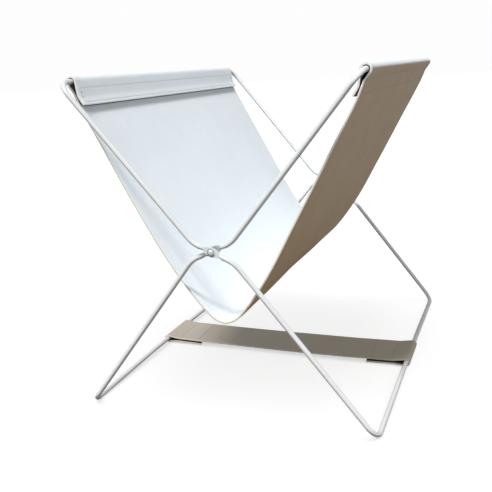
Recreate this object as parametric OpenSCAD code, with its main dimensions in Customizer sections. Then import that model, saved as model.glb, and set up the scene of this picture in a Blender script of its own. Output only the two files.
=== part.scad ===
// Folding magazine rack: two scissor loops of round rod, a leather sling between
// their top bars and a leather strap between their ground bars.
// Millimetres, +Z up, -Y is the front. The origin is on the floor, midway between the feet.

/* [Frame] */
// diameter of the steel rod
rod_d = 5; // [4:0.5:6]
// half the distance between the two top bars
top_half = 142.5; // [130:0.5:155]
// half the distance between the two ground bars
foot_half = 152; // [140:0.5:165]
// height of the top bars, to the rod's centre
top_z = 335; // [315:1:355]
// height of the pivot
pivot_z = 176; // [168:1:184]
// half the depth of a loop at the pivot
half_depth = 220; // [219:1:235]
// outward lean of the legs, so that a loop is deeper at the top
leg_lean = 2.2; // [0:0.2:3]
// bend radius of the four corners of a loop
corner_r = 15; // [10:1:16]
// rise of the ground bars in the middle, which lifts the strap off the floor
bar_rise = 2.8; // [2.7:0.1:5]
// half the length of the raised stretch of a ground bar
rise_half = 75; // [60:1:100]

/* [Hub] */
// slope of the short stretch of a leg through the pivot
hub_slope = 24; // [20:1:28]
// distance from the pivot to the upper knee
upper_knee = 20; // [20:1:23]
// distance from the pivot to the lower knee
lower_knee = 25; // [22:1:28]
// bend radius of the knees
knee_r = 28; // [10:1:28]
// length of the flattened eye
eye_l = 21; // [18:1:24]
// width of the flattened eye
eye_w = 8.4; // [7.6:0.2:9]
// thickness of the flattened eye
eye_t = 3.2; // [2.6:0.2:3.6]
// distance from the pivot to where the rod starts to be flattened
taper_l = 12; // [11:0.5:13]
// diameter of the rivet's shank
rivet_d = 3; // [2.6:0.1:3.4]
// diameter of the rivet's heads
head_d = 6; // [5.4:0.2:7]
// height of the domed outer head
head_h = 1.7; // [1.2:0.1:2.2]
// height of the flat inner head
tail_h = 1.1; // [0.8:0.1:1.6]
// radial running clearance of the rivet, and its end float
fit = 0.05; // [0.02:0.01:0.08]
// diameter of the spacer between the two eyes
spacer_d = 7; // [6.4:0.2:8]

/* [Sling] */
// thickness of the sling's leather
hide_t = 2.2; // [1.8:0.1:2.6]
// width of the sling, front to back
sling_w = 414; // [380:2:414]
// radius of the fold at the bottom of the sling
belly_r = 20; // [16:1:26]
// turn of that fold, each side of the bottom
belly_turn = 48; // [42:1:52]
// radius of the gentle curve above the fold
swell_r = 347; // [250:1:400]
// slope of the straight sides
side_slope = 62; // [60:0.5:66]
// slope of the stitched hems
hem_slope = 70; // [66:1:76]
// length of a hem, from the bar's centre to the flap's free edge
hem_l = 25; // [22:1:32]
// distance from the bar's centre to where flap and panel meet
hem_meet = 7; // [6:0.5:7]

/* [Strap] */
// thickness of the strap's leather
strap_t = 2; // [1.6:0.1:2.1]
// width of the strap
strap_w = 60; // [50:1:76]
// length folded under at each end, from the bar's centre
tuck_l = 46; // [38:1:56]
// distance from the bar's centre to where the two layers meet
tuck_meet = 9; // [8:0.5:12]

/* [Stitching] */
// width of a row of stitches
thread_w = 0.7; // [0.5:0.1:1]
// height of a row of stitches above the leather
thread_h = 0.35; // [0.2:0.05:0.5]
// distance from a hem's upper row to the bar's centre
row_top = 7.5; // [7.5:0.5:10]
// distance from a hem's lower row to the flap's free edge
row_edge = 3; // [2:0.5:4]
// distance from the end columns to the ends of the sling
column_in = 6; // [4:0.5:10]
// distance from a strap's outer row to the bar's centre
seam_out = 17; // [14:0.5:19]
// distance from a strap's inner row to the end of the fold
seam_in = 4; // [3:0.5:6]
// distance from the ends of a strap's rows to the strap's edges
seam_end = 4; // [3:0.5:8]

/* [Hidden] */
$fn = 64;

rod_r = rod_d / 2;
// The two loops lie side by side: each is moved this far along Y.
side_step = rod_r + 0.25;
eye_gap = 2 * side_step - eye_t;
rise_slope = atan(bar_rise / (half_depth - rise_half));
// Height of a loop's lower corners, so that the rod just meets the floor beside them.
foot_z = rod_r - corner_r * sin(rise_slope);
bar_z = foot_z + bar_rise;
rise_r = 1500;
// Bends are a hair thicker than the straights, which run this far into them.
bend_extra = 0.02;
lap = 0.5;
// Clearance between two layers of leather that are sewn together.
layer_gap = 0.1;

// Corners of a loop's front half, front to back.
function depth_at(z) = half_depth + (z - pivot_z) * tan(leg_lean);
function spot(x, z) = [x, -depth_at(z), z];
top_corner = spot(-top_half, top_z);
knee_1 = spot(-upper_knee * cos(hub_slope), pivot_z + upper_knee * sin(hub_slope));
knee_2 = spot(lower_knee * cos(hub_slope), pivot_z - lower_knee * sin(hub_slope));
foot_corner = spot(foot_half, foot_z);
rise_corner = [foot_half, -rise_half, bar_z];

function unit(v) = v / norm(v);
function turn(a, b, c) = acos(unit(b - a) * unit(c - b));
function cut(a, b, c, r) = r * tan(turn(a, b, c) / 2);
// Points where a bend at b starts and ends.
function bend_in(a, b, c, r) = b - unit(b - a) * cut(a, b, c, r);
function bend_out(a, b, c, r) = b + unit(c - b) * cut(a, b, c, r);
function flip(v) = [v[0], -v[1], v[2]];

// Straight rod from a to b, run on by lap_a and lap_b past its ends.
module rod(a, b, lap_a = 0, lap_b = 0, r1 = rod_r, r2 = rod_r) {
    d = b - a;
    translate(a - unit(d) * lap_a)
        rotate([0, acos(d[2] / norm(d)), atan2(d[1], d[0])])
            cylinder(h = norm(d) + lap_a + lap_b, r1 = r1, r2 = r2);
}

// Rod bent to radius r around the corner b of the path a, b, c.
module bend(a, b, c, r) {
    u = unit(b - a);
    v = unit(c - b);
    n = unit(v - u * (u * v));
    w = cross(u, n);
    o = bend_in(a, b, c, r) + n * r;
    multmatrix([
        [-n[0], u[0], w[0], o[0]],
        [-n[1], u[1], w[1], o[1]],
        [-n[2], u[2], w[2], o[2]],
        [0, 0, 0, 1]
    ])
        rotate_extrude(angle = turn(a, b, c))
            translate([r, 0])
                circle(rod_r + bend_extra);
}

// Flattened eye around the pivot, with its bore.
module eye() {
    arc = (pow(eye_l / 2, 2) + pow(eye_w / 2, 2)) / eye_w;
    translate([0, -half_depth, pivot_z])
        rotate([90, 0, 0])
            rotate([0, 0, -hub_slope])
                linear_extrude(eye_t, center = true)
                    intersection() {
                        translate([0, arc - eye_w / 2])
                            circle(arc);
                        translate([0, eye_w / 2 - arc])
                            circle(arc);
                    }
}

module leg() {
    along = unit(knee_2 - knee_1);
    pivot = [0, -half_depth, pivot_z];
    tip_r = eye_t / 2 - 0.3;
    difference() {
        union() {
            bend(flip(top_corner), top_corner, knee_1, corner_r);
            rod(bend_out(flip(top_corner), top_corner, knee_1, corner_r),
                bend_in(top_corner, knee_1, knee_2, knee_r), lap, lap);
            bend(top_corner, knee_1, knee_2, knee_r);
            rod(bend_out(top_corner, knee_1, knee_2, knee_r), pivot - along * taper_l, lap);
            rod(pivot - along * taper_l, pivot - along * 5, lap, 0, rod_r - bend_extra, tip_r);
            eye();
            rod(pivot + along * 5, pivot + along * taper_l, 0, lap, tip_r, rod_r - bend_extra);
            rod(pivot + along * taper_l, bend_in(knee_1, knee_2, foot_corner, knee_r), 0, lap);
            bend(knee_1, knee_2, foot_corner, knee_r);
            rod(bend_out(knee_1, knee_2, foot_corner, knee_r),
                bend_in(knee_2, foot_corner, rise_corner, corner_r), lap, lap);
            bend(knee_2, foot_corner, rise_corner, corner_r);
        }
        translate([0, -half_depth, pivot_z])
            rotate([90, 0, 0])
                cylinder(h = 2 * eye_t, d = rivet_d + 2 * fit, center = true);
    }
}

module top_bar() {
    start = bend_in(flip(top_corner), top_corner, knee_1, corner_r);
    rod(start, flip(start));
}

module ground_bar() {
    start = bend_out(knee_2, foot_corner, rise_corner, corner_r);
    rise_in = bend_in(foot_corner, rise_corner, flip(rise_corner), rise_r);
    rise_out = bend_out(foot_corner, rise_corner, flip(rise_corner), rise_r);
    rod(start, rise_in, 0, lap);
    bend(foot_corner, rise_corner, flip(rise_corner), rise_r);
    rod(rise_out, flip(rise_out), lap, lap);
    mirror([0, 1, 0])
        bend(foot_corner, rise_corner, flip(rise_corner), rise_r);
    rod(flip(rise_in), flip(start), lap);
}

module place_a() {
    color("whitesmoke")
        translate([0, -side_step, 0])
            children();
}

module place_b() {
    rotate([0, 0, 180])
        place_a()
            children();
}

module frame_a_top_bar() { place_a() top_bar(); }

module frame_a_front_leg() { place_a() leg(); }

module frame_a_rear_leg() { place_a() mirror([0, 1, 0]) leg(); }

module frame_a_ground_bar() { place_a() ground_bar(); }

module frame_b_top_bar() { place_b() top_bar(); }

module frame_b_front_leg() { place_b() mirror([0, 1, 0]) leg(); }

module frame_b_rear_leg() { place_b() leg(); }

module frame_b_ground_bar() { place_b() ground_bar(); }

// Rivet along -Y from the inner face of the inner eye, which is at y = 0.
module rivet() {
    grip = 2 * eye_t + eye_gap + fit;
    dome = (pow(head_d / 2, 2) + pow(head_h, 2)) / (2 * head_h);
    rotate([90, 0, 0]) {
        translate([0, 0, -tail_h])
            cylinder(h = tail_h, d = head_d);
        cylinder(h = grip, d = rivet_d);
        translate([0, 0, grip])
            intersection() {
                cylinder(h = head_h, d = head_d);
                translate([0, 0, head_h - dome])
                    sphere(dome);
            }
    }
}

inner_face = half_depth - side_step - eye_t / 2;

module rivet_front() {
    color("silver")
        translate([0, fit - inner_face, pivot_z])
            rivet();
}

module rivet_rear() {
    color("silver")
        translate([0, inner_face, pivot_z])
            rotate([0, 0, 180])
                rivet();
}

// Spacer along +Y from y = 0.
module spacer() {
    color("silver")
        rotate([-90, 0, 0])
            difference() {
                cylinder(h = eye_gap - fit, d = spacer_d);
                translate([0, 0, -1])
                    cylinder(h = eye_gap + 2, d = rivet_d + 2 * fit);
            }
}

module spacer_front() { translate([0, -inner_face - eye_t - eye_gap, pivot_z]) spacer(); }

module spacer_rear() { translate([0, inner_face + eye_t, pivot_z]) spacer(); }

// Points on an arc, and a ribbon of thickness t along a path in the XZ plane.
function arc_points(c, r, a0, a1, n) = [
    for (i = [0:n]) c + r * [cos(a0 + (a1 - a0) * i / n), sin(a0 + (a1 - a0) * i / n)]
];
function side_of(d) = [-d[1], d[0]];
function normal_at(p, i) =
    let (n = len(p) - 1,
         a = side_of(unit(p[max(i, 1)] - p[max(i, 1) - 1])),
         b = side_of(unit(p[min(i, n - 1) + 1] - p[min(i, n - 1)])))
    (a + b) / (1 + a * b);

module ribbon(path, t, w) {
    n = len(path) - 1;
    rotate([90, 0, 0])
        linear_extrude(w, center = true)
            polygon(concat(
                [for (i = [0:n]) path[i] + normal_at(path, i) * t / 2],
                [for (i = [n:-1:0]) path[i] - normal_at(path, i) * t / 2]
            ));
}

// Path of a teardrop loop around the bar at o, from the outer layer at s = l to the
// inner layer at s = l2. s runs along the angle a, and the layers lie flat from s = m on.
function frame_of(o, a, s, n) = o + s * [cos(a), sin(a)] + n * [-sin(a), cos(a)];
function loop_path(o, a, t, m, r, l, l2) =
    let (h = (t + layer_gap) / 2,
         wrap = acos(r / norm([m, h])) + atan(h / m))
    concat(
        l > m ? [frame_of(o, a, l, h)] : [],
        [frame_of(o, a, m, h)],
        arc_points(o, r, a + wrap, a + 360 - wrap, 24),
        [frame_of(o, a, m, -h), frame_of(o, a, l2, -h)]
    );

// Right half of the sling. It starts at the bottom of the fold and ends at the flap's edge.
bar_o = [top_half, top_z];
hem_a = 180 + hem_slope;
hem_end = frame_of(bar_o, hem_a, hem_l, (hide_t + layer_gap) / 2);
side_l = (hem_end[0] - belly_r * sin(belly_turn)
    - swell_r * (sin(side_slope) - sin(belly_turn))) / cos(side_slope);
belly_z = hem_end[1] - belly_r * (1 - cos(belly_turn))
    - swell_r * (cos(belly_turn) - cos(side_slope)) - side_l * sin(side_slope);
belly_o = [0, belly_z + belly_r];
swell_o = belly_o + (belly_r - swell_r) * [sin(belly_turn), -cos(belly_turn)];
half_gap = 0.15;

module sling_half() {
    start = asin(half_gap / belly_r);
    ribbon(concat(
        arc_points(belly_o, belly_r, start - 90, belly_turn - 90, 12),
        arc_points(swell_o, swell_r, belly_turn - 89, side_slope - 90, 10),
        loop_path(bar_o, hem_a, hide_t, hem_meet, rod_r + fit + hide_t / 2, hem_l, hem_l)
    ), hide_t, sling_w);
}

module sling_right() { color("lightsteelblue") sling_half(); }

module sling_left() { color("lightsteelblue") mirror([1, 0, 0]) sling_half(); }

// Rectangle of stitch rows on both faces of the right hem.
module hem_stitching() {
    color("white")
        translate([top_half, 0, top_z])
            rotate([0, -hem_slope, 0])
                for (face = [-1, 1])
                    translate([0, 0, face * (hide_t + (layer_gap + thread_h) / 2)])
                        difference() {
                            stitch_block(0, 0.5);
                            stitch_block(thread_w, 2);
                        }
}

module stitch_block(inset, h) {
    l = hem_l - row_edge - row_top - 2 * inset;
    w = sling_w - 2 * column_in - 2 * inset;
    translate([-row_top - inset - l / 2, 0, 0])
        cube([l, w, 2 * h * thread_h], center = true);
}

module hem_stitching_right() { hem_stitching(); }

module hem_stitching_left() { mirror([1, 0, 0]) hem_stitching(); }

// Strap: a band whose ends go round the ground bars and are tucked underneath.
strap_r = rod_r + fit + strap_t / 2;

module strap() {
    half = loop_path([foot_half, bar_z], 180, strap_t, tuck_meet, strap_r, 0, tuck_l);
    color("rosybrown")
        ribbon(concat(
            [for (i = [len(half) - 1:-1:0]) [half[i][0], half[i][1]]],
            [for (p = half) [-p[0], p[1]]]
        ), strap_t, strap_w);
}

// Two rows of stitches across the right end, on both faces.
module strap_stitching() {
    w = strap_w - 2 * seam_end;
    color("tan")
        for (s = [seam_out, tuck_l - seam_in], face = [-1, 1])
            translate([foot_half - s, 0, bar_z + face * (strap_t + (layer_gap + thread_h) / 2)])
                cube([thread_w, w, thread_h], center = true);
}

module strap_stitching_right() { strap_stitching(); }

module strap_stitching_left() { mirror([1, 0, 0]) strap_stitching(); }

frame_a_top_bar();
frame_a_front_leg();
frame_a_rear_leg();
frame_a_ground_bar();
frame_b_top_bar();
frame_b_front_leg();
frame_b_rear_leg();
frame_b_ground_bar();
rivet_front();
rivet_rear();
spacer_front();
spacer_rear();
sling_left();
sling_right();
hem_stitching_left();
hem_stitching_right();
strap();
strap_stitching_left();
strap_stitching_right();
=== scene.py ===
# Folding magazine rack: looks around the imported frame.
# Lengths in the helpers are millimetres; they become metres where a mesh is made.
import bpy, math
import numpy as np
from mathutils import Matrix, Vector


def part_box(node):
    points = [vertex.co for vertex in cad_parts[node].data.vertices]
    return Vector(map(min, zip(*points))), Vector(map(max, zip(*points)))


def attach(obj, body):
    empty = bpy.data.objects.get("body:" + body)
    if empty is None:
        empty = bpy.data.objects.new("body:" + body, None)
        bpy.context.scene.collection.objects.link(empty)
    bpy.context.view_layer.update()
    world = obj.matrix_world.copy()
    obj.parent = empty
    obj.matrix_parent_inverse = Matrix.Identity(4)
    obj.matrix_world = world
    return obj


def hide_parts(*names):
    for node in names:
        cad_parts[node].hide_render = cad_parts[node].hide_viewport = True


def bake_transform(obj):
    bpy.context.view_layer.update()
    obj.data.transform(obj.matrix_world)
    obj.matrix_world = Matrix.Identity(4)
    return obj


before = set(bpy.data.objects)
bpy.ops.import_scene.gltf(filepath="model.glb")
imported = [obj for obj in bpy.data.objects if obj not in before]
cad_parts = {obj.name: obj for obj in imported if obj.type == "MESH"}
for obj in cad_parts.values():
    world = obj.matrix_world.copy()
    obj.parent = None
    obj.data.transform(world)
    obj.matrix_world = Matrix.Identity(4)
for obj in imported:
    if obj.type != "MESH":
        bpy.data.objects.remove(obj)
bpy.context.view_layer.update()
MM = 0.001


def span(node):
    """Lowest and highest corner of a CAD node, in millimetres."""
    return [np.array(c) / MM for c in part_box(node)]


def smooth(x, a, b):
    """0 below a, 1 above b, and a smooth step between them."""
    t = np.clip((x - a) / (b - a), 0, 1)
    return t * t * (3 - 2 * t)


# ---------------------------------------------------------------- sizes
# BAR and FOOT are the centres, in x and z, of the right top bar and the right ground bar.
ROD_R = 2.5
bar_lo, bar_hi = span("frame_b_top_bar")
BAR = np.array([(bar_lo[0] + bar_hi[0]) / 2, (bar_lo[2] + bar_hi[2]) / 2])
ground_lo, ground_hi = span("frame_a_ground_bar")
FOOT = np.array([(ground_lo[0] + ground_hi[0]) / 2, ground_hi[2] - ROD_R])
LAYER_GAP = 0.12        # between two layers of leather that are sewn together

W = span("sling_right")[1][1]               # half the sling's width
T = 2.2                                     # thickness
HEM = 25.0                                  # flap, below the bar's centre
MEET = 7.0                                  # below the bar's centre, where the layers meet
ROW_TOP, ROW_EDGE, COLUMN = 7.5, 3.0, 6.0   # seams, from the bar, the flap's edge and the sides
HEM_PITCH = 6.2
HEM_A = math.radians(250)                   # the way the hem hangs from the bar
HEM_DIR = np.array([math.cos(HEM_A), math.sin(HEM_A)])
HEM_OUT = np.array([-HEM_DIR[1], HEM_DIR[0]])
SLING_LOOP_R, SLING_FLAT_R = 3.85, 3.95     # middle line round the bar, as hung and for the cut

SW = span("strap")[1][1]                    # half the strap's width
ST = 2.0                                    # thickness
TUCK = 46.0                                 # turned under, from the bar's centre
SEAM_OUT, SEAM_IN, SEAM_END = 17.0, 4.0, 4.0
STRAP_PITCH = 4.3
STRAP_LOOP_R = 3.72
SLID = (2.5, -7.0)                          # its left and right end have slid so far rearwards

CUT_R = 0.35                                # rounding of the cut edges


# ---------------------------------------------------------------- section curves
def arc(o, r, a0, a1, step):
    n = max(2, int(abs(a1 - a0) * r / step) + 1)
    a = np.linspace(a0, a1, n)
    return np.stack([o[0] + r * np.cos(a), o[1] + r * np.sin(a)], 1)


def line(a, b, step):
    n = max(2, int(np.linalg.norm(np.subtract(b, a)) / step) + 1)
    return np.linspace(a, b, n)


def joined(parts):
    out = [parts[0]]
    for p in parts[1:]:
        out.append(p[1:] if np.allclose(out[-1][-1], p[0], atol=1e-6) else p)
    return np.concatenate(out)


def lengths(p):
    """Distance along the path p at each of its points."""
    return np.concatenate([[0], np.cumsum(np.linalg.norm(np.diff(p, axis=0), axis=1))])


def spaced(p, step):
    s = lengths(p)
    t = np.linspace(0, s[-1], int(round(s[-1] / step)) + 1)
    return np.stack([np.interp(t, s, p[:, k]) for k in range(p.shape[1])], 1)


def sampled(p, share):
    """The path p at the given shares of its length."""
    s = lengths(p)
    return np.stack([np.interp(np.asarray(share) * s[-1], s, p[:, k]) for k in range(2)], 1)


def softened(p, sigma, step):
    """The path with its bends eased, its ends kept."""
    k = int(4 * sigma / step) + 1
    w = np.exp(-0.5 * (np.arange(-k, k + 1) * step / sigma) ** 2)
    w /= w.sum()
    out = np.empty_like(p)
    for c in range(p.shape[1]):
        v = np.concatenate([2 * p[0, c] - p[k:0:-1, c], p[:, c],
                            2 * p[-1, c] - p[-2:-k - 2:-1, c]])
        out[:, c] = np.convolve(v, w, "valid")
    return out


def sling_half(splay, lift, r, step=0.5):
    """Right half of the sling in section, as x and z, from the bottom of the fold to the flap's
    free edge. splay opens the hem's two layers, lift raises the flap's edge, and r is the
    radius round the bar."""
    d, n = HEM_DIR, HEM_OUT
    h = (T + LAYER_GAP) / 2
    end = BAR + HEM * d + h * n
    # The panel below the hem: a belly, a long swell, and a straight side.
    belly, side = math.radians(48), math.radians(62)
    belly_r, swell_r = 20.0, 347.0
    side_l = (end[0] - belly_r * math.sin(belly)
              - swell_r * (math.sin(side) - math.sin(belly))) / math.cos(side)
    low = (end[1] - belly_r * (1 - math.cos(belly)) - swell_r * (math.cos(belly) - math.cos(side))
           - side_l * math.sin(side))
    belly_o = np.array([0, low + belly_r])
    swell_o = belly_o + (belly_r - swell_r) * np.array([math.sin(belly), -math.cos(belly)])
    q = math.pi / 2
    lower = joined([arc(belly_o, belly_r, -q, belly - q, step),
                    arc(swell_o, swell_r, belly - q, side - q, step),
                    line(end - side_l * np.array([math.cos(side), math.sin(side)]), end, step)])
    # The hem: up the panel to where it leaves for the bar, round it, and down the flap.
    apart = 0.45 * splay
    leave, back = MEET + 3.5 * splay, h + apart
    land = leave + 9.0 - 4.0 * splay
    up = np.arange(HEM, leave, -step)
    panel = BAR + up[:, None] * d + (h + apart * ((HEM - up) / (HEM - leave))[:, None] ** 0.8) * n
    start, stop = (math.acos(r / math.hypot(x, back)) + math.atan2(back, x) for x in (leave, land))
    loop = arc(BAR, r, HEM_A + start, HEM_A + 2 * math.pi - stop, step / 2)
    down = np.append(np.arange(land, HEM, step), HEM)
    out = h + apart + (LAYER_GAP + lift) * ((down - land) / (HEM - land)) ** 1.3
    flap = BAR + down[:, None] * d - out[:, None] * n
    p = spaced(joined([lower, panel[1:], loop, flap]), step)
    # Sharp bends stay near the bar; the panel further down is eased more.
    along = lengths(p)
    w = (smooth((p - BAR) @ d, 14, 30) * (along < along[-1] - 60))[:, None]
    return softened(p, 1.3, step) * (1 - w) + softened(p, 5.0, step) * w


def strap_half(edge, step=0.5):
    """Right half of the strap in section, from the middle to the tuck's free end.
    edge is 1 at the strap's long edges, where the two layers stand apart."""
    h = (ST + LAYER_GAP) / 2
    bend = 15.0             # from the bar's centre, where the layers part to go round it
    knots = np.array([(0, h - 0.7), (FOOT[0] * 0.35, h - 0.45), (FOOT[0] - 40, h),
                      (FOOT[0] - bend, h + 0.25)])
    x = np.linspace(0, knots[-1, 0], 200)
    upper = np.stack([x, np.interp(x, knots[:, 0], FOOT[1] + knots[:, 1])], 1)
    loop = arc(FOOT, STRAP_LOOP_R, math.radians(94), math.radians(-95), step / 2)
    s = np.linspace(bend, TUCK, 60)
    f = (s - bend) / (TUCK - bend)
    low = FOOT[1] - h - 0.15 - edge * (1.35 + 0.55 * f) - 0.25 * f ** 2
    lower = np.stack([FOOT[0] - s, low], 1)
    return softened(spaced(joined([upper, loop, lower]), step), 1.6, step)


# ---------------------------------------------------------------- sheet builder
def edge_steps(total, inner):
    """Stations from 0 to total: close together at both ends, where the cut edges are rounded.
    An inner station too near to one that is already there is left out."""
    start = [0, 0.1, CUT_R, 0.8]
    keep = start + [total - e for e in start]
    for x in inner:
        if min(abs(x - y) for y in keep) > 0.22:
            keep.append(x)
    return np.array(sorted(keep))


def cross_steps(width, near, first, margin, step):
    """Stations across a sheet, from its middle. near lists those by each long edge, and the
    rest run from first to margin before the other edge."""
    return edge_steps(width, [*near, *np.arange(first, width - margin, step),
                              *(width - x for x in reversed(near))]) - width / 2


def section(u, half, path_l, path_r):
    """x and z at the stations u along a left and a right half, which both start in the middle."""
    left = u <= half
    xz = np.empty((len(u), 2))
    xz[left] = sampled(path_l, 1 - u[left] / half)
    xz[~left] = sampled(path_r, (u[~left] - half) / half)
    return xz


def round_off(d, t):
    """Half thickness at distance d from a cut edge."""
    d = np.minimum(d, CUT_R)
    return t / 2 - CUT_R + np.sqrt(np.maximum(CUT_R * CUT_R - (CUT_R - d) ** 2, 0))


def unit(vectors):
    return vectors / np.linalg.norm(vectors, axis=-1, keepdims=True)


def add_object(name, verts, faces):
    """New smooth-shaded mesh object in the scene."""
    me = bpy.data.meshes.new(name)
    me.from_pydata(verts, [], faces)
    me.polygons.foreach_set("use_smooth", [True] * len(me.polygons))
    o = bpy.data.objects.new(name, me)
    bpy.context.scene.collection.objects.link(o)
    return o


def make_sheet(name, mid, u, v, t, shade_tone, shade_outer, shade_inner):
    """Closed sheet of thickness t around the grid of mid points, u along and v across.
    shade_tone is painted shade on the outer face; shade_outer and shade_inner are painted shade on
    the outer and the inner face.
    Returns the object and its skin, which is what stitches need to lie on it."""
    n, m = len(u), len(v)
    k = n * m
    normal = unit(np.cross(np.gradient(mid, v, axis=1), np.gradient(mid, u, axis=0)))
    d_u = np.minimum(u - u[0], u[-1] - u)[:, None]
    d_v = np.minimum(v - v[0], v[-1] - v)[None, :]
    half = np.minimum(round_off(d_u, t), round_off(d_v, t))[:, :, None]
    verts = np.concatenate([(mid + normal * half).reshape(-1, 3),
                            (mid - normal * half).reshape(-1, 3)]) * MM
    idx = np.arange(k).reshape(n, m)
    a, b, c, d = idx[:-1, :-1], idx[1:, :-1], idx[1:, 1:], idx[:-1, 1:]
    quads = [np.stack([a, d, c, b], -1).reshape(-1, 4),
             np.stack([a, b, c, d], -1).reshape(-1, 4) + k]
    for row, flip in ((idx[0], False), (idx[-1], True), (idx[:, 0], True), (idx[:, -1], False)):
        p, q = row[:-1], row[1:]
        f = np.stack([p, p + k, q + k, q], -1)
        quads.append(f[:, ::-1] if flip else f)
    o = add_object(name, verts.tolist(), np.concatenate(quads).tolist())
    me = o.data
    edge = np.tile(np.maximum(1 - d_u / CUT_R, 1 - d_v / CUT_R).clip(0, 1).ravel(), 2)
    painted_shade = np.concatenate([shade_outer.ravel(), shade_inner.ravel()]) * (1 - edge)
    for label, value in (("painted_shade", painted_shade), ("shade_tone", np.concatenate([shade_tone.ravel(), np.zeros(k)])),
                         ("edge", edge)):
        field = me.attributes.new(label, "FLOAT", "POINT")
        field.data.foreach_set("value", value.astype(np.float32))
    uu, vv = np.meshgrid(u, v, indexing="ij")
    st = np.stack([uu.ravel(), vv.ravel()], 1) * MM
    st = np.concatenate([st, st + [0, 1.0]])
    uv = me.uv_layers.new(name="UVMap")
    loops = np.empty(len(me.loops), np.int32)
    me.loops.foreach_get("vertex_index", loops)
    uv.data.foreach_set("uv", st[loops].astype(np.float32).ravel())
    me.validate()
    me.update()
    return o, (mid, normal, u, v, t)


# ---------------------------------------------------------------- sling
base = sling_half(0, 0, SLING_FLAT_R)
half_l = lengths(base)[-1]
L = 2 * half_l
hem_u = HEM * 2 + SLING_FLAT_R * math.pi + 15       # flap, loop and a little of the panel
WALL = HEM + 6                                      # from an end to the top of the roll
FOLD = 24                                           # stations are close this far round the fold

# Distance from the sheet's end, and below the bar, along the panel of the first hem.
from_end = L - lengths(base) - half_l
on_wall = from_end > WALL
WALL_E = from_end[on_wall][::-1]
WALL_S = ((base - BAR) @ HEM_DIR)[on_wall][::-1]
ROWS = [HEM - ROW_TOP, ROW_EDGE] + [float(np.interp(s, WALL_S[4:], WALL_E[4:]))
                                    for s in (ROW_TOP, HEM - ROW_EDGE)]
groove_u = [r + k for r in ROWS for k in (-1.0, -0.6, -0.3, 0, 0.3, 0.6, 1.0)]
U = edge_steps(L, [*groove_u, *(L - np.array(groove_u)), *np.arange(1.4, hem_u, 0.85),
                   *np.arange(hem_u, half_l - FOLD, 4.5),
                   *np.arange(half_l - FOLD, half_l + FOLD, 1.6),
                   *np.arange(half_l + FOLD, L - hem_u, 4.5),
                   *np.arange(L - hem_u, L - 1.4, 0.85)])
V = cross_steps(2 * W, [1.6, 3, 4.5, 6, 8, 10.5, 13.5, 17, 21], 26, 22, 5.2)


def wave(y, *terms):
    """Sum of sine waves, each given by its height, its period and its phase."""
    return sum(a * np.sin(2 * math.pi * y / p + f) for a, p, f in terms)


mid = np.zeros((len(U), len(V), 3))
for j, y in enumerate(V):
    near, far = (math.exp(-((W - abs(y)) / reach) ** 2) for reach in (7.0, 13.0))
    halves = []
    for side in (-1, 1):
        lift = 1.0 * far + 0.12 * wave(y, (1, 61, side), (0.7, 37, 2 + side)) + 1.0
        halves.append(sling_half(near, lift, SLING_LOOP_R + 0.8 * near) * [side, 1])
    xz = section(U, half_l, *halves)
    mid[:, j, 0], mid[:, j, 1], mid[:, j, 2] = xz[:, 0], y, xz[:, 1]

# The hide isn't perfectly even: long shallow swells, edges that curl a little, a groove under
# each row of stitches, and a belly that leans to the right towards the front.
uu, vv = np.meshgrid(U, V, indexing="ij")
edge_d = np.minimum(uu, L - uu)
flap_part = edge_d <= HEM
out = unit(np.cross(np.gradient(mid, V, axis=1), np.gradient(mid, U, axis=0)))
free = smooth(edge_d, hem_u + 2, hem_u + 60)
swell = free * (0.55 * np.sin(uu / 47 + 1.3) * np.sin(vv / 83 + 0.4)
                + 0.4 * np.sin(uu / 29 + vv / 61) + 0.25 * np.sin(vv / 24 + uu / 90 + 2))
curl = free * (-0.7 * np.exp(-((W - np.abs(vv)) / 9) ** 2))
sewn = (np.abs(vv) < W - COLUMN + 1) * np.where(flap_part, 1.0, 0.3)
groove = sum(np.exp(-((edge_d - r) / 0.65) ** 2) for r in ROWS) * sewn
mid += out * (swell + curl - 0.14 * groove)[:, :, None]
mid[:, :, 0] += 3.0 * np.exp(-((uu - half_l) / 75) ** 2) * smooth(-vv, -60, 200)

# Painted shade: the white hide is taupe outside, and fades back to white over the top of each
# roll, where the surface turns up.
slope = np.degrees(np.arctan2(out[:, :, 2], np.abs(out[:, :, 0])))
shade_tone = smooth(-slope, -24, 8) * (edge_d > WALL)
# Painted shadow inside: a dark band on the panel under each flap, on top of the flap's real cast
# shadow, and painted shade in the hollows of the hems.
drop = np.interp(edge_d, WALL_E, WALL_S) - HEM
painted_shade = np.where((edge_d > WALL) & (drop > 0),
                0.40 * (1 - smooth(drop, 0.2, 1.6)) + 0.46 * (1 - smooth(drop, 5.5, 10.5)), 0.86)
# The grooves under the rows of stitches get painted shade on the outer face.
sling, sling_skin = make_sheet("sling", mid, U, V, T, shade_tone,
                               groove * np.where(flap_part, 0.05, 0.02), painted_shade)


# ---------------------------------------------------------------- stitches
RINGS, SIDES, HOLE_SIDES = 7, 6, 8
THREAD_SLOT = {}        # for each seam, the material slot of each face: thread, hole, outer thread


def place(skin, u, v, side):
    """Point and unit normal of the sheet's middle at (u, v), between its stations."""
    grid, normals, us, vs, _ = skin
    i = np.clip(np.searchsorted(us, u) - 1, 0, len(us) - 2)
    j = np.clip(np.searchsorted(vs, v) - 1, 0, len(vs) - 2)
    a = (u - us[i]) / (us[i + 1] - us[i])
    b = (v - vs[j]) / (vs[j + 1] - vs[j])
    p, n = ((1 - a) * (1 - b) * g[i, j] + a * (1 - b) * g[i + 1, j]
            + (1 - a) * b * g[i, j + 1] + a * b * g[i + 1, j + 1] for g in (grid, normals))
    return p, n / np.linalg.norm(n) * side


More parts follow.
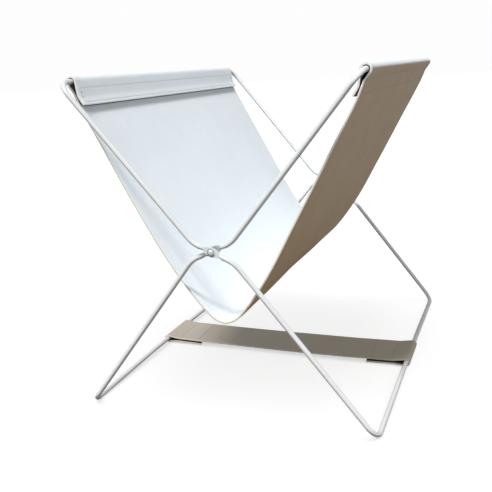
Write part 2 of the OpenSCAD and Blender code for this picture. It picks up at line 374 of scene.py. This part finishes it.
def add_stitch(verts, faces, skin, c0, c1, side, width):
    """One short cord from c0 to c1, which dips into the leather at both ends."""
    start = len(verts)
    centres, ups = [], []
    for r in range(RINGS):
        f = r / (RINGS - 1)
        p, n = place(skin, *(c0 + (c1 - c0) * f), side)
        rise = width * (0.30 - 0.95 * abs(2 * f - 1) ** 3.5)
        centres.append(p + n * (skin[4] / 2 + rise))
        ups.append(n)
    ahead = unit(np.gradient(np.array(centres), axis=0))
    for r in range(RINGS):
        x = unit(np.cross(ahead[r], ups[r]))
        up = np.cross(x, ahead[r])
        f = r / (RINGS - 1)
        rad = width / 2 * (1 - 0.55 * abs(2 * f - 1) ** 4)
        for q in range(SIDES):
            a = 2 * math.pi * q / SIDES
            verts.append((centres[r] + rad * (math.cos(a) * x + math.sin(a) * up)) * MM)
    for r in range(RINGS - 1):
        for q in range(SIDES):
            i, j = start + r * SIDES + q, start + r * SIDES + (q + 1) % SIDES
            faces.append((i, j, j + SIDES, i + SIDES))
    faces.append(tuple(start + q for q in reversed(range(SIDES))))
    faces.append(tuple(start + (RINGS - 1) * SIDES + q for q in range(SIDES)))


def add_hole(verts, faces, skin, u, v, side, radius):
    """One awl hole: a small dish that lies just proud of the leather, dark as painted shade in the
    hole.
    """
    p, n = place(skin, u, v, side)
    x = unit(np.cross(n, (0.3, 1.0, 0.1)))
    z = np.cross(n, x)
    c = p + n * (skin[4] / 2 + 0.06)
    start = len(verts)
    verts.append((c - n * 0.05) * MM)
    for q in range(HOLE_SIDES):
        a = 2 * math.pi * q / HOLE_SIDES
        verts.append((c + radius * (math.cos(a) * x + math.sin(a) * z)) * MM)
    faces += [(start, start + 1 + q, start + 1 + (q + 1) % HOLE_SIDES) for q in range(HOLE_SIDES)]


def stitch_mesh(name, runs, skin, pitch, width, hole):
    """Threads and holes of a running seam, along runs given by their start (u, v), their end
    (u, v), and the side of the hide."""
    verts, faces, dark, outside = [], [], [], []
    for a, b, side in runs:
        first = len(faces)
        a, b = np.array(a), np.array(b)
        n = max(3, int(round(np.linalg.norm(b - a) / pitch)))
        for k in range(n):
            c0, c1 = a + (b - a) * (k + 0.09) / n, a + (b - a) * (k + 0.91) / n
            add_stitch(verts, faces, skin, c0, c1, side, width)
        # Each hole gets the hole slot, whose dark colour paints the shade in the hole.
        for k in range(n + 1):
            add_hole(verts, faces, skin, *(a + (b - a) * k / n), side, hole)
            dark += range(len(faces) - HOLE_SIDES, len(faces))
        # Threads on the hide's outer face take the shaded copy of the white thread, as painted
        # shade.
        if WALL < min(a[0], skin[2][-1] - a[0]) and name.startswith("hem"):
            outside += range(first, len(faces))
    slots = np.zeros(len(faces), np.int32)
    slots[dark] = 1
    slots[outside] = 2
    THREAD_SLOT[name] = slots
    o = add_object(name, [tuple(p) for p in verts], faces)
    o.data.update()
    return o


# The hem's rows lie on the panel the same distance below the bar as on the flap.
below = (mid[:, len(V) // 2][:, [0, 2]] - BAR) @ HEM_DIR
wall = (U > half_l) & (U < L - WALL)
flap_u, panel_u = [], []
for s in (ROW_TOP, HEM - ROW_EDGE):
    flap_u.append(L - (HEM - s))
    panel_u.append(float(np.interp(-s, -below[wall], U[wall])))
hems = []
y = W - COLUMN
for name, mirror in (("hem_seam_left", True), ("hem_seam_right", False)):
    runs = []
    for pair in (flap_u, panel_u):
        a, b = (L - u if mirror else u for u in pair)
        runs += [((a, -y), (a, y), 1), ((b, -y), (b, y), 1),
                 ((a, -y), (b, -y), 1), ((a, y), (b, y), 1)]
    hems.append(stitch_mesh(name, runs, sling_skin, HEM_PITCH, 0.85, 0.95))

# ---------------------------------------------------------------- strap
s_half = lengths(strap_half(0))[-1]
SL = 2 * s_half
end_u = TUCK + STRAP_LOOP_R * math.pi + 24      # tuck, loop and a little of the top
SU = edge_steps(SL, [*np.arange(1.5, end_u, 0.9), *np.arange(end_u, SL - end_u, 4.5),
                     *np.arange(SL - end_u, SL - 1.5, 0.9)])
SV = cross_steps(2 * SW, [1.6, 2.8, 4.2, 6, 8.5], 11.5, 9, 3.2)
smid = np.zeros((len(SU), len(SV), 3))
for j, y in enumerate(SV):
    p = strap_half(math.exp(-((SW - abs(y)) / 6.0) ** 2))
    xz = section(SU, s_half, p * [-1, 1], p)
    smid[:, j, 0], smid[:, j, 1], smid[:, j, 2] = xz[:, 0], y, xz[:, 1]
su, sv = np.meshgrid(SU, SV, indexing="ij")
end_d = np.minimum(su, SL - su)
open_part = smooth(end_d, end_u, end_u + 50)
smid[:, :, 2] += open_part * (0.25 * np.sin(su / 31) * np.sin(sv / 19 + 1) - 0.35 * (sv / SW) ** 2)
smid[:, :, 1] += (open_part * 0.5 * np.sin(su / 70 + 0.5)
                  + np.interp(smid[:, :, 0], (-155, 155), SLID))
# The strap's path runs the other way round, so its outer face is turned out by reversing u.
smid = smid[::-1]
SU = (SL - SU)[::-1]
# Painted light and shade on the strap: lighter towards its left end, where light reaches it past
# the sling, and painted shade on its inner face by the tucks.
strap, strap_skin = make_sheet("strap_leather", smid, SU, SV, ST, smooth(smid[:, :, 0], -150, 120),
                               np.zeros_like(su), 0.9 * (end_d < 2 * TUCK + 13))

mid_x = smid[:, len(SV) // 2, 0]


def station(x, part):
    """Where the strap's middle line passes x, within one part of its length."""
    order = np.argsort(mid_x[part])
    return float(np.interp(x, mid_x[part][order], SU[part][order]))


seams = []
y = SW - SEAM_END
top_part = (SU > TUCK + 10) & (SU < SL - TUCK - 10)
for name, sign in (("strap_seam_left", -1), ("strap_seam_right", 1)):
    tuck_part = (SU < TUCK - 1) if mid_x[1] * sign > 0 else (SU > SL - TUCK + 1)
    runs = []
    for inset in (SEAM_OUT, TUCK - SEAM_IN):
        for part in (top_part, tuck_part):
            u = station(sign * (FOOT[0] - inset), part)
            runs.append(((u, -y), (u, y), 1))
    seams.append(stitch_mesh(name, runs, strap_skin, STRAP_PITCH, 0.75, 0.5))


# ---------------------------------------------------------------- materials
def colour(hexa):
    """sRGB hex to linear."""
    c = [int(hexa[i:i + 2], 16) / 255 for i in (0, 2, 4)]
    return tuple(x / 12.92 if x <= 0.04045 else ((x + 0.055) / 1.055) ** 2.4 for x in c) + (1,)


def grey(v):
    return (v, v, v, 1)


class Nodes:
    """Short names for making and linking shader nodes in one tree."""

    def __init__(self, tree):
        self.t = tree

    def n(self, kind, **props):
        node = self.t.nodes.new("ShaderNode" + kind)
        for k, v in props.items():
            setattr(node, k, v)
        return node

    def put(self, socket, value):
        """Link an output socket to an input, or set the input's value."""
        if isinstance(value, bpy.types.NodeSocket):
            self.t.links.new(value, socket)
        else:
            socket.default_value = value

    def fed(self, kind, *values, **props):
        """New node with its first inputs put."""
        node = self.n(kind, **props)
        for socket, value in zip(node.inputs, values):
            self.put(socket, value)
        return node

    def math(self, op, a, b=0.0, clamp=False):
        return self.fed("Math", a, b, operation=op, use_clamp=clamp).outputs[0]

    def vector(self, op, *values):
        return self.fed("VectorMath", *values, operation=op)

    def xyz(self, vec):
        return self.fed("SeparateXYZ", vec).outputs

    def coord(self, kind):
        return self.n("TexCoord").outputs[kind]


class Mat(Nodes):
    def __init__(self, name):
        self.m = bpy.data.materials.new(name)
        self.m.use_nodes = True
        super().__init__(self.m.node_tree)
        self.b = self.t.nodes["Principled BSDF"]

    def mix(self, fac, a, b, blend="MIX"):
        return self.fed("MixRGB", fac, a, b, blend_type=blend).outputs[0]

    def tint(self, fac, base, col):
        """The base multiplied by a colour, by the factor fac."""
        return self.mix(fac, base, self.mix(1.0, base, col, "MULTIPLY"))

    def attr(self, name):
        return self.n("Attribute", attribute_name=name).outputs["Fac"]

    def noise(self, vec, scale, detail=4, rough=0.55, dist=0.0):
        node = self.fed("TexNoise", vec)
        for label, value in (("Scale", scale), ("Detail", detail), ("Roughness", rough),
                             ("Distortion", dist)):
            node.inputs[label].default_value = value
        return node.outputs["Fac"]

    def cells(self, vec, scale, random=0.9):
        node = self.fed("TexVoronoi", vec, feature="DISTANCE_TO_EDGE")
        node.inputs["Scale"].default_value = scale
        node.inputs["Randomness"].default_value = random
        return node.outputs["Distance"]

    def ramp(self, fac, *stops):
        """Grey value by fac; each stop is its position and its value."""
        node = self.fed("ValToRGB", fac)
        e = node.color_ramp.elements
        while len(e) > 1:
            e.remove(e[-1])
        e[0].position, e[0].color = stops[0][0], grey(stops[0][1])
        for pos, value in stops[1:]:
            e.new(pos).color = grey(value)
        return node.outputs[0]

    def bump(self, height, strength, distance, below=None):
        node = self.n("Bump")
        node.inputs["Strength"].default_value = strength
        node.inputs["Distance"].default_value = distance
        self.put(node.inputs["Height"], height)
        if below is not None:
            self.put(node.inputs["Normal"], below)
        return node.outputs[0]

    def finish(self, col, rough, normal):
        for label, value in (("Base Color", col), ("Roughness", rough), ("Normal", normal)):
            self.put(self.b.inputs[label], value)
        return self


def leather(name, shaded, back, edge, edge_shaded, shaded_low=None):
    """Full-grain leather: back where shade_tone is 0 and the painted shade colour shaded where it
    is 1, raw cut edges that take edge_shaded in that painted shade, pores and creases.
    shaded_low is the painted shade, darker and browner, at the bottom of the fold."""
    k = Mat(name)
    uv = k.n("UVMap", uv_map="UVMap").outputs[0]
    shade_tone, cut = k.attr("shade_tone"), k.attr("edge")
    big = k.noise(uv, 9, 3, 0.5)
    patch = k.noise(uv, 38, 5, 0.6, 0.4)
    fine = k.noise(uv, 900, 3, 0.6)
    pores = k.cells(uv, 1150)
    crease = k.cells(uv, 420, random=1.0)
    # Painted shade, darker and browner towards the bottom of the fold.
    if shaded_low is not None:
        from_fold = k.math("ABSOLUTE", k.math("SUBTRACT", k.xyz(uv)["X"], half_l * MM))
        shaded = k.mix(k.ramp(from_fold, (0.02, 1), (0.27, 0)), shaded, shaded_low)
    # Painted shade: the shaded colour where shade_tone is 1.
    base = k.mix(shade_tone, back, shaded)
    base = k.tint(k.math("MULTIPLY", big, 0.16), base, grey(0.86))
    base = k.tint(k.math("MULTIPLY", k.math("SUBTRACT", patch, 0.45, clamp=True), 0.55), base,
                  (0.88, 0.86, 0.82, 1))
    base = k.tint(k.math("MULTIPLY", fine, 0.10), base, grey(0.8))
    # Painted shade and shadow in the grooves, the hollows, the tucks and under the flaps.
    base = k.tint(k.attr("painted_shade"), base, (0.09, 0.085, 0.08, 1))
    fibres = k.noise(k.coord("Object"), 2200, 3, 0.7)
    raw = k.tint(k.math("MULTIPLY", fibres, 0.5), k.mix(shade_tone, edge, edge_shaded),
                 (0.84, 0.81, 0.75, 1))
    base = k.mix(k.ramp(cut, (0.35, 0), (0.75, 1)), base, raw)
    rough = k.math("ADD", k.math("MULTIPLY", patch, 0.16), 0.48)
    rough = k.math("ADD", rough, k.math("MULTIPLY", cut, 0.25), clamp=True)
    k.b.inputs["Specular IOR Level"].default_value = 0.42
    h = k.bump(k.ramp(pores, (0.0, 0), (0.22, 1)), 0.10, 0.0006)
    h = k.bump(k.ramp(crease, (0.0, 0), (0.12, 1)), 0.07, 0.0008, h)
    h = k.bump(patch, 0.12, 0.004, h)
    h = k.bump(k.math("MULTIPLY", fibres, cut), 0.5, 0.0006, h)
    return k.finish(base, rough, h)


def thread(name, col):
    """Twisted thread. The awl holes wear a darker one, as painted shade in the holes."""
    k = Mat(name)
    pos = k.coord("Object")
    twist = k.fed("TexWave", pos, wave_type="BANDS", bands_direction="DIAGONAL")
    twist.inputs["Scale"].default_value = 900
    twist.inputs["Distortion"].default_value = 1.5
    strand = twist.outputs["Fac"]
    shade = k.tint(k.math("MULTIPLY", strand, 0.3), col, (0.7, 0.68, 0.64, 1))
    shade = k.mix(k.math("MULTIPLY", k.noise(pos, 300), 0.2), shade, grey(0.5))
    return k.finish(shade, 0.6, k.bump(strand, 0.5, 0.0003))


def powder(name, col, eye_shade):
    """Satin powder coat over steel rod: faint orange peel, grime in patches, painted shade under
    the rods, a painted shadow ring and patch at the rivet, and scuffs that show primer. eye_shade
    is how dark the painted shade over the eye is."""
    k = Mat(name)
    pos = k.coord("Object")
    dirt = k.noise(pos, 16, 6, 0.65)
    base = k.mix(k.ramp(dirt, (0.42, 0), (0.8, 0.22)), col, (0.44, 0.43, 0.41, 1))
    # Painted shade: the rods are darker where their surface faces down.
    down = k.math("MULTIPLY", k.xyz(k.coord("Normal"))["Z"], -1.0)
    base = k.mix(k.ramp(down, (0.0, 0), (0.3, 0.68)), base, (0.20, 0.19, 0.18, 1))
    # Distance from the rivets' line, in centimetres, on both sides of the rack.
    away = k.vector("MULTIPLY", k.vector("SUBTRACT", pos, PIVOT).outputs[0], (100, 0, 100))
    away = away.outputs[0]
    radius = k.vector("LENGTH", away).outputs["Value"]
    # Painted shadow: a dark ring round the rivet's head, and painted shade over the eye, as dark
    # as eye_shade.
    ring = k.ramp(radius, (0.29, 0), (0.31, 0.9), (0.34, 0.75), (0.40, eye_shade), (0.80, eye_shade), (1.0, 0))
    base = k.mix(ring, base, grey(0.10))
    # Painted shade in the gap below the rivet's head.
    under = k.ramp(k.math("MULTIPLY", k.xyz(away)["Z"], -1.0), (0.10, 0), (0.26, 0.8))
    under = k.math("MULTIPLY", under, k.ramp(radius, (0.42, 1), (0.56, 0)))
    base = k.mix(under, base, grey(0.08))
    scuff = k.ramp(k.noise(pos, 120, 5, 0.7, 1.0), (0.66, 0), (0.72, 1))
    base = k.mix(k.math("MULTIPLY", scuff, 0.25), base, (0.55, 0.54, 0.51, 1))
    rough = k.math("ADD", k.math("MULTIPLY", dirt, 0.2), 0.26)
    return k.finish(base, rough, k.bump(k.noise(pos, 1500, 2), 0.06, 0.0004))


def metal(name, col, metallic):
    """Satin metal with a fine, slightly uneven grain."""
    k = Mat(name)
    pos = k.coord("Object")
    k.b.inputs["Metallic"].default_value = metallic
    rough = k.math("ADD", k.math("MULTIPLY", k.noise(pos, 1800, 4), 0.25), 0.28)
    return k.finish(k.tint(k.noise(pos, 700, 5), col, grey(0.72)), rough,
                    k.bump(k.noise(pos, 2600, 3), 0.12, 0.0002))


rivet_lo, rivet_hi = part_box("rivet_front")
PIVOT = [(rivet_lo[0] + rivet_hi[0]) / 2, 0, (rivet_lo[2] + rivet_hi[2]) / 2]
# The hide is white on both sides: the taupe colours and the darker edge colour paint the shade on
# its outer face and its cut edges there.
hide = leather("hide", colour("a08a71"), colour("f0f5f9"), colour("f2f2ee"), colour("d8d1c3"),
               colour("9d8158"))
# The strap's taupe paints shade on what is the same white leather as the hide.
band = leather("band", colour("b5ac9d"), colour("b9b2a6"), colour("e0d9cb"), colour("c9bfac"))
# frame_b's copy of the coat paints the shadow that frame_a's eye casts on its eye.
coats = {"frame_a": powder("powder_coat_a", colour("e3e5e6"), 0.06),
         "frame_b": powder("powder_coat_b", colour("e3e5e6"), 0.45)}
spacer_metal = metal("dark_spacer", grey(0.16), 0.85)
rivet_metal = metal("satin_metal", (0.80, 0.82, 0.83, 1), 0.4)
# Hem threads: white thread, the holes' dark colour as painted shade in them, and a shaded copy of
# the white thread for the outer face.
hem_threads = (thread("white_thread", colour("eceeed")), thread("stitch_hole", colour("5e5c58")),
               thread("shaded_white_thread", colour("bba992")))
# The strap's hole colour paints the shade in its awl holes.
strap_threads = (thread("tan_thread", colour("c2baac")), thread("strap_hole", colour("837b70")))


def wear(o, *kinds):
    o.data.materials.clear()
    for k in kinds:
        o.data.materials.append(k.m)


wear(sling, hide)
wear(strap, band)
for o in hems + seams:
    wear(o, *(hem_threads if o in hems else strap_threads))
    o.data.polygons.foreach_set("material_index", THREAD_SLOT[o.name])
for name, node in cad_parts.items():
    if name.startswith("frame_"):
        wear(node, coats[name[:len("frame_a")]])
    elif name.startswith("rivet"):
        wear(node, rivet_metal)
    elif name.startswith("spacer"):
        wear(node, spacer_metal)

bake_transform(sling)
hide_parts("sling_left", "sling_right")
for o, body, node in zip(hems, ("frame_a", "frame_b"),
                         ("hem_stitching_left", "hem_stitching_right")):
    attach(o, body)
    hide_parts(node)
for o, node, slot in ((strap, "strap", "strap"),
                      (seams[0], "strap_stitching_left", "strap_thread"),
                      (seams[1], "strap_stitching_right", "strap_thread")):
    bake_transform(o)
    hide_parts(node)

# ---------------------------------------------------------------- floor and backdrop
FLOOR_HALF, FLOOR_Z = 12.0, -0.0003
me = bpy.data.meshes.new("floor")
me.from_pydata([(x * FLOOR_HALF, y * FLOOR_HALF, FLOOR_Z)
                for x, y in ((-1, -1), (1, -1), (1, 1), (-1, 1))], [], [(0, 1, 2, 3)])
floor = bpy.data.objects.new("floor", me)
bpy.context.scene.collection.objects.link(floor)
k = Mat("floor")
k.put(k.b.inputs["Base Color"], k.mix(k.noise(k.coord("Object"), 3, 3), grey(0.44), grey(0.46)))
for label, value in (("Emission Color", grey(1)), ("Emission Strength", 0.62),
                     ("Roughness", 0.85), ("Specular IOR Level", 0.2)):
    k.b.inputs[label].default_value = value
# Bright to the camera, and a dim bounce to everything else.
dim = k.fed("BsdfDiffuse", (0.46, 0.45, 0.43, 1))
eye = k.fed("MixShader", k.n("LightPath").outputs["Is Camera Ray"], dim.outputs[0],
            k.b.outputs[0])
k.put(k.t.nodes["Material Output"].inputs["Surface"], eye.outputs[0])
wear(floor, k)

# The sky is brighter overhead; the camera sees a plain near-white backdrop instead.
world = bpy.data.worlds.new("studio")
bpy.context.scene.world = world
world.use_nodes = True
w = Nodes(world.node_tree)
lit = w.t.nodes["Background"]
lit.inputs["Color"].default_value = (0.94, 0.97, 1.0, 1)
sky = w.fed("MapRange", w.xyz(w.coord("Generated"))["Z"])
for label, value in (("From Min", 0.0), ("From Max", 0.9), ("To Min", 0.29), ("To Max", 0.6)):
    sky.inputs[label].default_value = value
w.put(lit.inputs["Strength"], sky.outputs[0])
seen = w.fed("Background", (0.985, 0.985, 0.99, 1))
both = w.fed("MixShader", w.n("LightPath").outputs["Is Camera Ray"], lit.outputs[0],
             seen.outputs[0])
w.put(w.t.nodes["World Output"].inputs[0], both.outputs[0])


# ---------------------------------------------------------------- lights
def sun(name, toward, strength, spread, col=(1, 1, 1)):
    """Studio light from far away, from the given direction, as soft as its spread in degrees."""
    light = bpy.data.lights.new(name, "SUN")
    light.energy, light.angle, light.color = strength, math.radians(spread), col
    o = bpy.data.objects.new(name, light)
    o.rotation_euler = Vector(toward).to_track_quat("Z", "Y").to_euler()
    bpy.context.scene.collection.objects.link(o)
    return o


def only(o, target, state):
    """The light leaves the target alone (EXCLUDE), or lights nothing else (INCLUDE)."""
    group = bpy.data.collections.new(o.name + "_lit")
    group.objects.link(target)
    group.collection_objects[0].light_linking.link_state = state
    o.light_linking.receiver_collection = group


only(sun("key", (-0.15, -0.6, 1.0), 2.68, 11, (1.0, 0.99, 0.97)), floor, "EXCLUDE")
only(sun("floor_light", (0.0, -0.2, 1.0), 2.2, 80), floor, "INCLUDE")
sun("side", (1.0, -0.35, 0.35), 0.35, 60)

# ---------------------------------------------------------------- camera
FOCAL_PX, FRAME_PX = 744, 492
cam = bpy.data.cameras.new("camera")
cam.sensor_width = 36
cam.lens = FOCAL_PX / FRAME_PX * cam.sensor_width
cam.clip_start = 0.01
camera = bpy.data.objects.new("camera", cam)
yaw, pitch, roll = (math.radians(a) for a in (20.592, 13.796, 2.831))
camera.matrix_world = (Matrix.Translation((0.2651, -0.8361, 0.3442))
                       @ Matrix.Rotation(yaw, 4, "Z")
                       @ Matrix.Rotation(math.pi / 2 - pitch, 4, "X")
                       @ Matrix.Rotation(-roll, 4, "Z"))
bpy.context.scene.collection.objects.link(camera)
bpy.context.scene.camera = camera
bpy.context.scene.view_settings.view_transform = "Standard"
